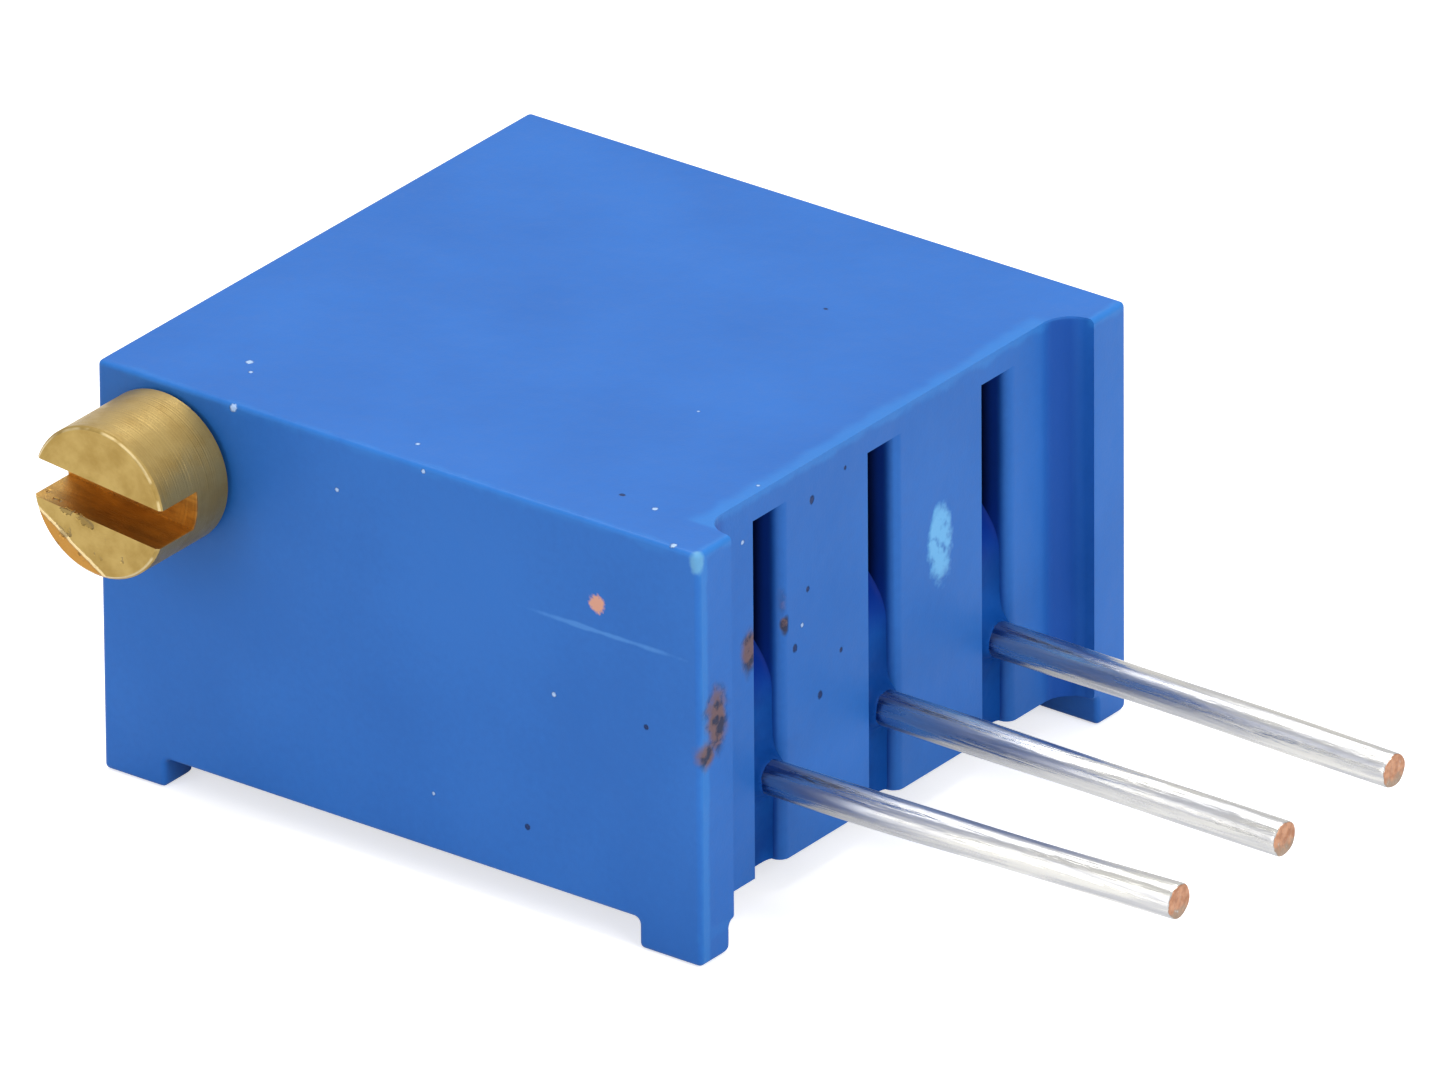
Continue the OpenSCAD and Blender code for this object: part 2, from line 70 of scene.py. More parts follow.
(back_x, _, floor_z), (front_x, side_y, top_z) = corners("housing")
(_, head_y, _), _ = corners("adjusting_screw")
coin_x, tip_x = corners("pin_2")[0][0], corners("pin_2")[1][0]
pin_r = (corners("pin_2")[1][2] - corners("pin_2")[0][2]) / 2
pin_rows = [corners(f"pin_{n}")[0][1] + pin_r for n in (1, 2, 3)]
screw_joint = next(j for j in frame["joints"] if j["name"] == "screw_turn")
screw_x, _, screw_z = (v / MM for v in screw_joint["pos_m"])

wall, roof, ledge = 0.58, 0.55, 0.30
foot_h, foot_l, foot_w, foot_r = 0.43, 1.04, 0.66, 0.24
outer_round, inner_round = 0.08, 0.025
recess_d, rib_w, cove_r = 0.50, 0.73, 0.44
slot_w, slot_drop, slot_shift, slot_flare = 0.60, 0.38, -0.065, 0.16
fill_h, fill_d, resin_sink, resin_top = 1.85, 0.20, 0.12, 0.20
slump_d, slump_h = 0.34, 0.70
element_z = 0.87
shank_r, bore_r = 0.82, 0.86
bearing_z, bearing_half, bearing_l = 1.90, 1.08, 1.80
journal_r, journal_l = 0.45, 0.28
blind_r, blind_l = 0.49, 0.38
driver_w, driver_d, driver_tilt = 0.58, 0.76, 5.8

face_x = front_x - recess_d
under_z = floor_z + foot_h
inner_y = side_y - rib_w
pocket_x0, pocket_x1 = back_x + wall, face_x - wall
pocket_y = side_y - wall
chamber_y = pocket_y - ledge
roof_z = top_z - roof
print("pin rows at", np.round(pin_rows, 2), "screw axis at", round(screw_x, 2), round(screw_z, 2))

# %% [markdown]
# ## The camera
# The photograph was taken from far off with a long lens: 37 degrees round from the screw side and
# 26 degrees up. The angles, the distance and the point looked at were solved from the corners of
# the body, so the model lands on the photograph's outline.

# %% Camera
AZIMUTH, ELEVATION, ROLL = 37.0953, 26.2685, -0.4219
DISTANCE = 381.155
LOOK_AT = np.array([7.9923, -14.8530, 10.8815])
LENS, SENSOR = 752.24, 36.0


def camera_axes(azimuth, elevation, roll):
    """Right, up and backward directions of a camera, which is turned about Z, tipped up, and then
    rolled about its own line."""
    a, e, r = np.radians([azimuth, elevation, roll])
    back = np.array([np.sin(a) * np.cos(e), -np.cos(a) * np.cos(e), np.sin(e)])
    right = np.array([np.cos(a), np.sin(a), 0.0])
    up = np.cross(back, right)
    return np.cos(r) * right + np.sin(r) * up, np.cos(r) * up - np.sin(r) * right, back


right, up, back = camera_axes(AZIMUTH, ELEVATION, ROLL)
camera = bpy.data.objects.new("camera", bpy.data.cameras.new("camera"))
camera.data.lens, camera.data.sensor_width = LENS, SENSOR
camera.data.clip_start, camera.data.clip_end = 0.01, 10
stand = LOOK_AT + DISTANCE * back
columns = np.column_stack([right, up, back, stand * MM])
camera.matrix_world = Matrix([*columns.tolist(), [0, 0, 0, 1]])
bpy.context.scene.collection.objects.link(camera)
bpy.context.scene.camera = camera
bpy.context.scene.view_settings.view_transform = "Standard"
print("the camera stands, in mm, at", np.round(stand, 1))

# %% [markdown]
# ## Meshes from arrays
# Each new piece is a grid of points worked out with numpy. These helpers put such a grid into
# Blender, join and cut closed shapes with the exact Boolean modifier, and round their edges. The
# modifiers are turned into mesh at once, so each step starts from a finished shape.


# %% Skins and blocks
def add_piece(name, points, faces):
    """Puts points, in millimetres, and faces into a new object that sits at the origin."""
    mesh = bpy.data.meshes.new(name)
    mesh.from_pydata((np.asarray(points).reshape(-1, 3) * MM).tolist(), [], faces)
    piece = bpy.data.objects.new(name, mesh)
    bpy.context.scene.collection.objects.link(piece)
    return piece


def grid_faces(rows, columns, joined=False):
    """Four-sided faces between the points of a grid; joined closes each row on itself."""
    row = np.arange(rows - 1)[:, None] * columns
    here = np.arange(columns if joined else columns - 1)[None, :]
    beside = (here + 1) % columns
    quads = np.stack([row + here, row + beside, row + columns + beside, row + columns + here], -1)
    return quads.reshape(-1, 4).tolist()


def closed_skin(name, rings):
    """A closed skin over rings of points, shaped (rings, points, 3): quads between the rings, and
    one face over each end."""
    rows, columns = rings.shape[:2]
    ends = [list(range(columns))[::-1], list(range((rows - 1) * columns, rows * columns))]
    return add_piece(name, rings, grid_faces(rows, columns, joined=True) + ends)


def prism(name, outline, low, high):
    """An outline of (x, y) points, counterclockwise, carried from z = low to z = high."""
    outline = np.asarray(outline, float)
    level = np.ones((len(outline), 1))
    return closed_skin(name, np.stack([np.hstack([outline, level * z]) for z in (low, high)]))


def block(name, low, high):
    """A block between two corners."""
    outline = [(low[0], low[1]), (high[0], low[1]), (high[0], high[1]), (low[0], high[1])]
    return prism(name, outline, low[2], high[2])


def full_turn(points):
    """Angles of the points of one ring, as a row."""
    return np.linspace(0, 2 * np.pi, points, endpoint=False)[None, :]


def rings_round_y(y, radius, angle, axis_x, axis_z):
    """Rings about the line x = axis_x, z = axis_z: each point stands at its radius and its angle."""
    x = axis_x + radius * np.sin(angle)
    z = axis_z + radius * np.cos(angle)
    return np.stack(np.broadcast_arrays(x, y, z), -1)


def turned(name, profile, axis_x, axis_z, segments=128):
    """A profile of (y, radius) points turned about the line x = axis_x, z = axis_z."""
    y, radius = np.asarray(profile, float).T[:, :, None]
    return closed_skin(name, rings_round_y(y, radius, full_turn(segments), axis_x, axis_z))


# %% Cutting, joining and rounding
def settle(piece):
    """Turns a piece's live modifiers into mesh."""
    graph = bpy.context.evaluated_depsgraph_get()
    mesh = bpy.data.meshes.new_from_object(piece.evaluated_get(graph))
    piece.modifiers.clear()
    piece.data = mesh


def combine(piece, *tools, operation="DIFFERENCE"):
    """Cuts closed tools out of a piece, or joins them to it, and removes the tools."""
    for tool in tools:
        modifier = piece.modifiers.new(tool.name, "BOOLEAN")
        modifier.operation, modifier.solver, modifier.object = operation, "EXACT", tool
    settle(piece)
    for tool in tools:
        bpy.data.objects.remove(tool)


def round_edges(piece, radius, segments, sharper_than):
    """Rounds every edge that turns by more than an angle, in degrees."""
    modifier = piece.modifiers.new("round", "BEVEL")
    modifier.width, modifier.segments = radius * MM, segments
    modifier.limit_method, modifier.angle_limit = "ANGLE", math.radians(sharper_than)
    modifier.miter_outer = "MITER_ARC"
    settle(piece)


def smooth(piece, sharp=40):
    """Shades a piece smoothly up to an angle, and lets the large flat faces keep their own direction."""
    piece.data.shade_smooth()
    piece.data.set_sharp_from_angle(angle=math.radians(sharp))
    modifier = piece.modifiers.new("flats", "WEIGHTED_NORMAL")
    modifier.keep_sharp = True
    settle(piece)


# %% Handing a piece over
def finish_piece(piece, body, slot, material, *nodes):
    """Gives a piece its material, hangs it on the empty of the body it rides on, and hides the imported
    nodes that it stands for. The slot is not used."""
    piece.data.materials.clear()
    piece.data.materials.append(material)
    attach(piece, body)
    if nodes:
        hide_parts(*nodes)
    piece.data.calc_loop_triangles()
    print(f"{piece.name}: {len(piece.data.loop_triangles)} triangles")


# %% [markdown]
# ## Shader arithmetic
# A pattern is easier to read as an expression than as a web of nodes. Signal wraps one output
# socket, so that adding or multiplying two signals adds the Math node that does it. Every pattern
# starts from Object coordinates, so it stays in place on a piece when the piece moves.


# %% A socket as a value
class Signal:
    """An output socket of a material's tree. Arithmetic on it adds Math nodes."""

    def __init__(self, shader, socket):
        self.shader, self.socket = shader, socket

    def math(self, operation, *terms):
        """Adds a Math node that works the operation out on the terms, point by point."""
        return self.shader.node("ShaderNodeMath", {"operation": operation}, terms)

    def __add__(self, other):
        return self.math("ADD", self, other)

    def __radd__(self, other):
        return self.math("ADD", other, self)

    def __sub__(self, other):
        return self.math("SUBTRACT", self, other)

    def __rsub__(self, other):
        return self.math("SUBTRACT", other, self)

    def __mul__(self, other):
        return self.math("MULTIPLY", self, other)

    def __rmul__(self, other):
        return self.math("MULTIPLY", other, self)

    def __abs__(self):
        return self.math("ABSOLUTE", self)


# %% One method for every other node
class NodeTree:
    """The nodes of a material or of the sky, which are all added by one method."""

    def __init__(self, tree):
        self.tree = tree

    def node(self, kind, settings=None, sockets=(), output=0):
        """Adds a node of a type. Its settings are set first, then the values or links of its sockets."""
        made = self.tree.nodes.new(kind)
        for key, value in (settings or {}).items():
            setattr(made, key, value)
        pairs = sockets.items() if isinstance(sockets, dict) else enumerate(sockets)
        for key, value in pairs:
            self.feed(made.inputs[key], value)
        return Signal(self, made.outputs[output])

    def feed(self, socket, value):
        """Links a signal to a socket, or sets the socket to a value."""
        if isinstance(value, Signal):
            self.tree.links.new(value.socket, socket)
        else:
            socket.default_value = value


# %% Materials
class Shader(NodeTree):
    """One material, built from expressions. Lengths inside it are in millimetres."""

    def __init__(self, name, roughness, metallic=0.0, **constants):
        self.material = bpy.data.materials.new(name)
        self.material.use_nodes = True
        super().__init__(self.material.node_tree)
        self.surface = self.tree.nodes["Principled BSDF"]
        self.set(Roughness=roughness, Metallic=metallic, **constants)
        metres = self.node("ShaderNodeTexCoord", output="Object")
        self.place = self.vector("SCALE", metres, scale=1 / MM)

    def set(self, **sockets):
        """Sets or links sockets of the surface; an underscore in a name stands for a space."""
        for name, value in sockets.items():
            self.feed(self.surface.inputs[name.replace("_", " ")], value)

    def vector(self, operation, a, b=(0, 0, 0), scale=1.0):
        """Vector Math on two vectors; a length or a dot product comes back as a number."""
        sockets = {0: a, "Scale": scale} if operation == "SCALE" else {0: a, 1: b}
        output = "Value" if operation in ("LENGTH", "DOT_PRODUCT") else 0
        return self.node("ShaderNodeVectorMath", {"operation": operation}, sockets, output)

    def stretch(self, sx, sy, sz):
        """The place, scaled by a factor along each axis."""
        return self.vector("MULTIPLY", self.place, (sx, sy, sz))

    def along(self, direction):
        """The place measured along a direction."""
        return self.vector("DOT_PRODUCT", self.place, direction)

    def noise(self, where, scale=1.0, detail=2.0, roughness=0.5, distortion=0.0):
        """Soft noise from 0 to 1 over a vector, with a scale in swells per unit of the vector."""
        sockets = {"Vector": where, "Scale": scale, "Detail": detail}
        sockets |= {"Roughness": roughness, "Distortion": distortion}
        return self.node("ShaderNodeTexNoise", None, sockets)

    def step(self, value, low, high, to_low=0.0, to_high=1.0):
        """A soft step from to_low to to_high as the value goes from low to high."""
        sockets = {"Value": value, 1: low, 2: high, 3: to_low, 4: to_high}
        return self.node("ShaderNodeMapRange", {"interpolation_type": "SMOOTHSTEP"}, sockets)

    def mix(self, factor, a, b):
        """The colour a where the factor is 0, the colour b where it is 1, and a blend between."""
        colours = [(*c, 1) if isinstance(c, tuple) else c for c in (a, b)]
        sockets = {0: factor, 6: colours[0], 7: colours[1]}
        return self.node("ShaderNodeMix", {"data_type": "RGBA"}, sockets, 2)

    def spot(self, place, halves, ragged=0.5, grain=2.0, soft=0.25):
        """1 inside an uneven spot and 0 outside it: the distance from its middle, counted in half
        sizes and shifted by noise, falls through 1."""
        offset = self.vector("SUBTRACT", self.place, place)
        distance = self.vector("LENGTH", self.vector("DIVIDE", offset, halves))
        edge = self.noise(self.place, grain / min(halves), 3.0)
        return self.step(distance + (edge - 0.5) * ragged, 1 + soft, 1 - soft)

    def most(self, *masks):
        """The largest of several masks."""
        found = masks[0]
        for mask in masks[1:]:
            found = found.math("MAXIMUM", found, mask)
        return found

    def bump(self, height, distance):
        """Feeds a height, in millimetres times distance, to the surface's normal."""
        sockets = {"Height": height, "Distance": distance * MM, "Strength": 1.0}
        self.set(Normal=self.node("ShaderNodeBump", None, sockets))


# %% Screen colours
def linear(red, green, blue):
    """A screen colour from 0 to 255 as the linear colour that a shader takes: the standard curve,
    a straight line near black and a power of 2.4 above it."""
    c = np.array([red, green, blue]) / 255
    return tuple(float(v) for v in np.where(c <= 0.04045, c / 12.92, ((c + 0.055) / 1.055) ** 2.4))


# %% [markdown]
# ## Housing
# The real housing is one injection moulding: a box with rounded edges, a recess with hollow
# corners between two standoff ribs, a slot over each pin, four feet, and a pocket underneath.
# The feet are cut free of a block and the outer edges are rounded before the recess, the pocket,
# the slots and the bores are cut, because a moulding is sharper inside. Two feet also have one
# lower corner worn round. One outline of the whole moulding would do without cutters, but it
# couldn't round the outer edges more than the inner ones.

# %% Cutters of the housing
REACH = 1.0
CORNER_STEPS = 9


def recess_corner(side):
    """The hollow corner between a rib and the recess: a quarter circle that leaves the rib's inner
    face and meets the recess's floor."""
    angle = np.radians(np.linspace(270, 180, 17))
    x = face_x + cove_r + cove_r * np.cos(angle)
    y = -(inner_y - cove_r) + cove_r * np.sin(angle)
    arc = np.stack([x, y], 1)
    return arc if side < 0 else arc[::-1] * (1, -1)


def recess_cutter():
    """The recess in plan, counterclockwise, carried through the whole height."""
    mouth = [(REACH, -inner_y), (REACH, inner_y)]
    outline = np.vstack([mouth, recess_corner(1)[::-1], recess_corner(-1)[::-1]])
    return prism("recess", outline, floor_z - REACH, top_z + REACH)


def foot_corner(name, y):
    """The cutter that rounds the feet's lower corner at y: all that lies outside a quarter circle."""
    angle = np.radians(np.linspace(90, 0, CORNER_STEPS))
    across = y - foot_r + foot_r * np.sin(angle)
    level = floor_z + foot_r - foot_r * np.cos(angle)
    past_y, past_z = y + 0.1, floor_z - 0.1
    start = [(y - foot_r, past_z), (past_y, past_z), (past_y, floor_z + foot_r)]
    outline = np.vstack([start, np.stack([across, level], 1)])
    depth = np.ones((len(outline), 1))
    ends = [np.hstack([depth * x, outline]) for x in (back_x - REACH, REACH)]
    return closed_skin(name, np.stack(ends))


def screw_bore():
    """The bore of the screw and the blind bore of its end journal, as one turned cutter."""
    blind_y = chamber_y + blind_l
    profile = [(-side_y - REACH, bore_r), (chamber_y, bore_r), (chamber_y, blind_r), (blind_y, blind_r)]
    return turned("screw_bore", profile, screw_x, screw_z, 96)


def slot_cutter(name, row):
    """A slot in plan: straight walls, with a rounded mouth on the side away from the screw."""
    low, high = row + slot_shift - slot_w / 2, row + slot_shift + slot_w / 2
    deep = pocket_x1 - 0.05
    angle = np.radians(np.linspace(90, 180, CORNER_STEPS))
    mouth_x = face_x + slot_flare * (np.sin(angle) - 1)
    mouth_y = high + slot_flare * (1 + np.cos(angle))
    start = [(deep, low), (REACH, low), (REACH, high + slot_flare)]
    outline = np.vstack([start, np.stack([mouth_x, mouth_y], 1), (deep, high)])
    return prism(name, outline, floor_z - REACH, top_z - slot_drop)


# %% Housing shape
housing = block("housing_shell", (back_x, -side_y, floor_z), (front_x, side_y, top_z))
below = floor_z - REACH
feet_y = side_y - foot_w
combine(
    housing,
    block("under_x", (back_x + foot_l, -side_y - REACH, below), (-foot_l, side_y + REACH, under_z)),
    block("under_y", (back_x - REACH, -feet_y, below), (REACH, feet_y, under_z)),
)
round_edges(housing, outer_round, 5, 40)
combine(housing, recess_cutter())
combine(housing, foot_corner("near_corner", -feet_y), foot_corner("far_corner", side_y))
chamber_low = (pocket_x0 + ledge, -chamber_y, element_z - 0.01)
chamber_high = (pocket_x1 - 0.001, chamber_y, roof_z)
combine(
    housing,
    block("pocket", (pocket_x0, -pocket_y, below), (pocket_x1, pocket_y, element_z)),
    block("chamber", chamber_low, chamber_high),
)
bearing_low = (back_x + wall / 2, -side_y + wall / 2, bearing_z)
bearing_high = (screw_x + bearing_half, -side_y + bearing_l, roof_z + roof / 2)
combine(housing, block("bearing", bearing_low, bearing_high), operation="UNION")
slots = [slot_cutter(f"slot_{n}", row) for n, row in enumerate(pin_rows)]
combine(housing, screw_bore(), *slots)
round_edges(housing, inner_round, 2, 50)
smooth(housing)
print("housing spans, in mm:", [round(v / MM, 3) for v in housing.dimensions])

# %% [markdown]
# ## Housing finish
# The plastic is a saturated blue with a faint satin texture from the mould. A paler band along the
# outer edges and a pale spot at the top of the upright corner at the screw's side are painted
# highlights, and painted shade darkens the hollow corners and the slots. Handling has left crumbs,
# pits, a scratch and brown scorch marks near the pins. A picture of all this could be wrapped round
# the body. Here each mark is one uneven spot at its own place instead, which stays sharp at any size
# and can be moved by a number.

# %% Colours and marks of the housing
# The next two colours are painted shade inside the slots, the first for deep in them.
DEEP_SLOT_SHADE = linear(2, 11, 46)
SLOT_SHADE_BLUE = linear(6, 38, 132)
# Painted highlight along the outer edges.
EDGE_HIGHLIGHT_BLUE = linear(58, 146, 222)
# Painted shade in the hollow corners beside the ribs.
HOLLOW_SHADE_BLUE = linear(4, 72, 158)
PALE_BLUE = linear(96, 160, 226)
WHITE_CRUMB = linear(190, 216, 250)
DARK_PIT = linear(6, 22, 70)
SCORCH = linear(112, 84, 72)
SCORCH_EDGE = linear(50, 44, 50)
CYAN_SCUFF = linear(104, 174, 226)
COPPER_CRUMB = linear(206, 150, 128)
# Painted highlight at the top of the upright corner at the screw's side.
CORNER_GLINT_BLUE = linear(126, 190, 214)

CRUMBS = [
    ((-6.00, -side_y, 3.53), 0.030), ((-2.41, -side_y, 1.55), 0.035), ((-4.55, -side_y, 4.22), 0.030),
    ((-7.73, -side_y, 4.24), 0.055), ((-8.33, -3.63, top_z), 0.050), ((-8.13, -3.86, top_z), 0.030),
    ((-5.01, -4.28, top_z), 0.030), ((-1.30, -3.98, top_z), 0.040), ((-0.45, -4.70, top_z), 0.045),
    ((face_x, -3.13, 3.70), 0.030), ((face_x, -1.83, 1.96), 0.030), ((-2.60, -1.30, top_z), 0.020),
    ((-0.62, -2.62, top_z), 0.025), ((-4.44, -side_y, -0.52), 0.025),
]
PITS = [
    ((face_x, -1.60, 3.72), 0.055), ((face_x, -1.70, 2.44), 0.040), ((face_x, -1.99, 1.68), 0.055),
    ((face_x, -0.97, 1.25), 0.035), ((face_x, -1.44, 0.77), 0.055), ((face_x, -0.86, 3.90), 0.030),
    ((-2.87, -side_y, -0.55), 0.040), ((-0.88, -side_y, 1.52), 0.035), ((-1.90, -3.90, top_z), 0.040),
    ((-3.10, 2.20, top_z), 0.030), ((back_x, 1.40, 2.10), 0.045), ((-6.20, side_y, 0.80), 0.040),
]
print("marks on the housing:", len(CRUMBS), "crumbs and", len(PITS), "pits")


# %% Masks of the housing
def in_slots(s):
    """Two masks of painted shade for the three slots: 1 inside them, and 1 only deep in them, where no
    light gets.
    """
    x, y, z = s.along((1, 0, 0)), s.along((0, 1, 0)), s.along((0, 0, 1))
    width = slot_w / 2 + slot_flare
    rows = s.most(*[s.step(abs(y - row - slot_shift), width + 0.02, width) for row in pin_rows])
    under_roof = s.step(z, top_z - slot_drop / 2, top_z - slot_drop)
    above_rim = s.step(z, under_z + 0.01, under_z + 0.04)
    inside = rows * under_roof * above_rim * s.step(x, back_x / 2, pocket_x1)
    shaded = inside * s.step(x, face_x - 0.04, face_x - 0.22)
    return shaded, inside * s.step(x, face_x - 0.24, face_x - 0.46)


def painted_edge_highlight(s):
    """The mask of a painted highlight: 1 on the outer edges, where a point is near two faces at once, in
    a band of uneven width. The band of the upright corner at the screw's side lies on the rib's end
    face."""
    x, y, z = s.along((1, 0, 0)), s.along((0, 1, 0)), s.along((0, 0, 1))
    uneven = (s.noise(s.place, 1.9, 3.0) - 0.5) * 0.3

    def near(distance, width):
        """1 at no distance from a face, falling to 0 at the width, shifted by the noise."""
        return s.step(abs(distance) + uneven, width, width * 0.25)

    top, front, side = near(z - top_z, 0.15), near(x - front_x, 0.14), near(y + side_y, 0.13)
    between_ribs = s.step(y, -inner_y, -inner_y + 0.1) * s.step(y, inner_y - 0.25, inner_y - 0.55)
    recess = near(x - face_x, 0.30) * between_ribs
    corner = front * s.step(abs(y + side_y - 0.12) + uneven * 0.4, 0.11, 0.03)
    lower = front * near(z - under_z, 0.1)
    return s.most(top * recess, top * front, top * side * 0.5, corner, lower * 0.3)


def hollow(s):
    """The mask of painted shade: 1 inside the two hollow corners beside the ribs, which see little
    light, and less where they open towards the ribs' ends."""
    x, across, z = s.along((1, 0, 0)), abs(s.along((0, 1, 0))), s.along((0, 0, 1))
    corner = s.step(across, inner_y - cove_r * 1.3, inner_y - cove_r * 0.6)
    corner = corner * s.step(across, inner_y - 0.01, inner_y - 0.10, 0.45, 1.0)
    corner = corner * s.step(across, inner_y + 0.01, inner_y - 0.01)
    return corner * s.step(z, top_z - 0.02, top_z - 0.05) * s.step(x, face_x - 0.06, face_x - 0.01)


# %% Housing finish
def housing_finish():
    """Satin blue: two near blues mixed by noise, then a painted highlight on the edges, painted shade in
    the hollows and the slots, and each mark mixed over by its mask. The bump is noise, raised at crumbs
    and lowered at pits."""
    s = Shader("housing_blue", roughness=0.42, IOR=1.5, Specular_IOR_Level=0.2)
    cloud = s.noise(s.place, 0.35, 2.0)
    grain = s.noise(s.place, 9.0, 3.0, 0.6)
    tone = s.step(cloud * 0.7 + grain * 0.3, 0.3, 0.7)
    colour = s.mix(tone, linear(35, 98, 178), linear(41, 106, 188))
    crumbs = s.most(*[s.spot(place, (size, size, size), 0.9) for place, size in CRUMBS])
    pits = s.most(*[s.spot(place, (size, size * 0.8, size), 0.9) for place, size in PITS])
    scuff = s.spot((face_x, 1.24, 1.95), (0.2, 0.25, 0.54), 0.7, 1.4)
    speck = s.spot((-1.68, -side_y, 3.10), (0.12, 0.1, 0.13), 0.9)
    scratch = s.spot((-1.6, -side_y, 2.70), (1.0, 0.1, 0.035), 1.6, 0.12, 0.5)
    scorch = s.most(
        s.spot((front_x, -4.38, 1.74), (0.2, 0.22, 0.42), 1.3, 0.8, 0.5),
        s.spot((front_x, -4.60, 1.30), (0.2, 0.14, 0.20), 1.3, 0.6, 0.5),
        s.spot((face_x, -3.01, 2.05), (0.2, 0.16, 0.30), 1.1, 0.6, 0.45),
        s.spot((face_x, -2.20, 2.10), (0.08, 0.07, 0.13), 0.8, 0.5, 0.4),
        s.spot((face_x, -2.24, 2.45), (0.08, 0.05, 0.16), 0.9, 0.5, 0.9) * 0.4,
    )
    burn = s.step(s.noise(s.place, 5.0, 3.0), 0.44, 0.60)
    burnt = s.mix(burn, SCORCH, SCORCH_EDGE)
    # Painted shade in the hollow corners beside the ribs.
    colour = s.mix(hollow(s) * 0.92, colour, HOLLOW_SHADE_BLUE)
    # Painted highlight along the outer edges.
    colour = s.mix(painted_edge_highlight(s) * 0.28, colour, EDGE_HIGHLIGHT_BLUE)
    # Painted shade inside the slots, darkest deep in them.
    shaded, dark = in_slots(s)
    colour = s.mix(dark * 0.95, s.mix(shaded * 0.85, colour, SLOT_SHADE_BLUE), DEEP_SLOT_SHADE)
    colour = s.mix(scratch * 0.35, colour, PALE_BLUE)
    colour = s.mix(scuff * s.step(s.noise(s.place, 5.5, 2.0), 0.22, 0.50), colour, CYAN_SCUFF)
    colour = s.mix(scorch * 0.9, colour, burnt)
    colour = s.mix(pits * 0.85, colour, DARK_PIT)
    colour = s.mix(speck, colour, COPPER_CRUMB)
    # Painted highlight: a pale spot where the edge highlights meet at the top of the upright corner at
    # the screw's side.
    burr = s.spot((front_x - 0.04, -side_y + 0.04, top_z - 0.12), (0.09, 0.09, 0.16), 1.3, 0.6, 0.5)
    colour = s.mix(burr * 0.5, colour, CORNER_GLINT_BLUE)
    colour = s.mix(crumbs * 0.7, colour, WHITE_CRUMB)
    waves = s.noise(s.place, 1.1, 2.0)
    fine = s.noise(s.place, 22.0, 2.0)
    height = waves * 1.0 + fine * 0.06 - pits * 0.8 + crumbs * 0.6 + scuff * 0.3 - scorch * 0.6 * burn
    s.bump(height, 0.03)
    s.set(Base_Color=colour, Roughness=s.step(grain, 0.3, 0.7, 0.38, 0.46) + scorch * 0.2 + crumbs * 0.1)
    return s.material


finish_piece(housing, "case", "housing_blue", housing_finish(), "housing")

# %% [markdown]
# ## Sealing resin
# Blue resin is poured into the pocket from below, over the ceramic and the pin ends, and rises in
# the three slots. A liquid climbs where it meets a wall or a wire, so each free surface is a height
# field: flat in the middle, lifted towards its edges by a curve that dies away like exp(-distance).
# A fluid simulation could find that shape too, but the formula is quick and easy to adjust.


# %% Resin shape
def slab(name, surface, axis, level):
    """A closed slab between a surface grid (rows, columns, 3) and a flat copy of it, which has its
    axis (0 for x, 2 for z) at a level."""
    rows, columns = surface.shape[:2]
    back_grid = surface.copy()
    back_grid[..., axis] = level
    points = np.concatenate([surface.reshape(-1, 3), back_grid.reshape(-1, 3)])
    front = np.array(grid_faces(rows, columns))
    count = rows * columns
    index = np.arange(count).reshape(rows, columns)
    rim = np.concatenate([index[0, :-1], index[:-1, -1], index[-1, :0:-1], index[:0:-1, 0]])
    after = np.roll(rim, -1)
    sides = np.stack([after, rim, rim + count, after + count], 1)
    faces = np.concatenate([front, front[:, ::-1] + count, sides])
    return add_piece(name, points, faces.tolist())


def meniscus(distance, rise, reach):
    """How far a liquid climbs at a distance from a wall: rise times exp(-distance / reach)."""
    return rise * np.exp(-np.maximum(distance, 0) / reach)


def slot_resin(number, row):
    """The resin in one slot: y and z run over its face, and x is its depth. It is raised at the
    walls and at the wire, and slumps back towards its top."""
    low, high = under_z + 0.01, fill_h
    middle = row + slot_shift
    y = middle + (slot_w / 2) * np.sin(np.linspace(-np.pi / 2, np.pi / 2, 33))[None, :]
    z = np.linspace(low, high, 97)[:, None]
    wire = np.maximum(np.hypot(y - row, z) - pin_r, 0)
    at_wall = slot_w / 2 - np.abs(y - middle)
    slump = slump_d * np.clip((z - high + slump_h) / slump_h, 0, 1) ** 2
    x = face_x - fill_d + meniscus(at_wall, 0.05, 0.06) + meniscus(wire, 0.22, 0.09) - slump
    x = np.minimum(x, face_x - 0.02 + meniscus(wire, 0.2, 0.08))
    grid = np.stack(np.broadcast_arrays(x, y, z), -1)
    return slab(f"slot_resin_{number}", grid, 0, pocket_x1 - 0.02)


def underside_resin():
    """The resin in the pocket, seen from below: z is its level, a faint ripple, lowered near the
    walls, which it climbs while the part lies upside down."""
    steps = np.sin(np.linspace(-np.pi / 2, np.pi / 2, 61))
    middle, half = (pocket_x0 + pocket_x1) / 2, (pocket_x1 - pocket_x0) / 2
    x = (middle + half * steps)[None, :]
    y = (pocket_y * steps)[:, None]
    at_wall = np.minimum(half - np.abs(x - middle), pocket_y - np.abs(y))
    ripple = 0.015 * np.sin(1.3 * x + 0.7) * np.cos(1.1 * y)
    z = under_z + resin_sink - meniscus(at_wall, 0.09, 0.16) + ripple * np.clip(at_wall, 0, 1)
    grid = np.stack(np.broadcast_arrays(x, y, z), -1)[:, ::-1]
    return slab("underside_resin", grid, 2, resin_top)


resin = underside_resin()
tongues = [slot_resin(n + 1, row) for n, row in enumerate(pin_rows)]
combine(resin, *tongues, operation="UNION")
smooth(resin, 50)
print("resin spans, in mm:", [round(v / MM, 3) for v in resin.dimensions])


